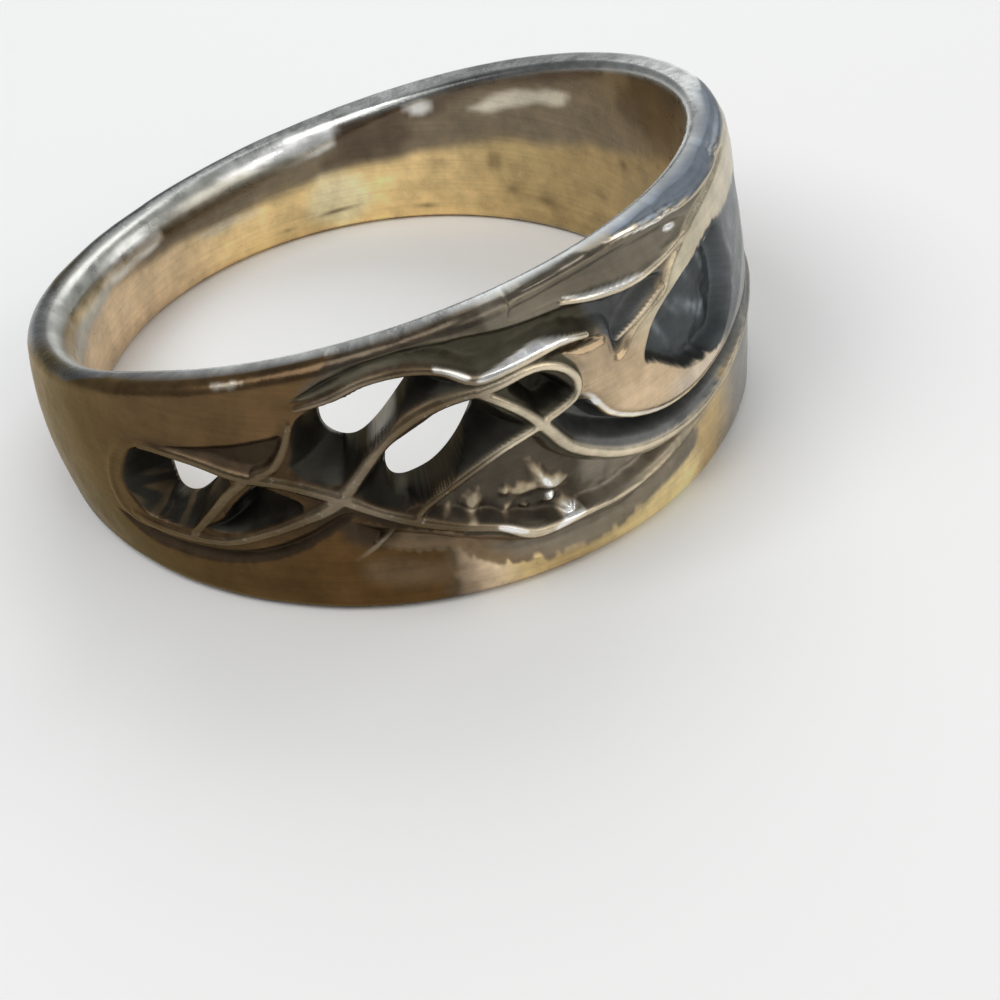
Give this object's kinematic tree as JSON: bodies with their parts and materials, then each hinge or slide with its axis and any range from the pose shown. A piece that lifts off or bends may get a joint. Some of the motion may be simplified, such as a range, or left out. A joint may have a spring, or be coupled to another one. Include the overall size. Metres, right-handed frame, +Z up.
{
  "type": "band ring",
  "caption": "Cast silver band ring, wide at the front and narrow at the back, with carved vines, pierced cells and an oval hollow in a leaf.",
  "frame": {"origin": "centre of the finger hole, in the plane of the lower rim on which the ring lies", "axes": "+Z up along the finger hole; -Y towards the viewer of the picture; the band is tallest between +X and -Y"},
  "size_m": [0.0215, 0.0215, 0.0091],
  "materials": {
    "silver": "worn cast silver, polished on the ridges and darkened in the hollows"
  },
  "bodies": {
    "root": {"band_ring": "silver"}
  },
  "joints": []
}
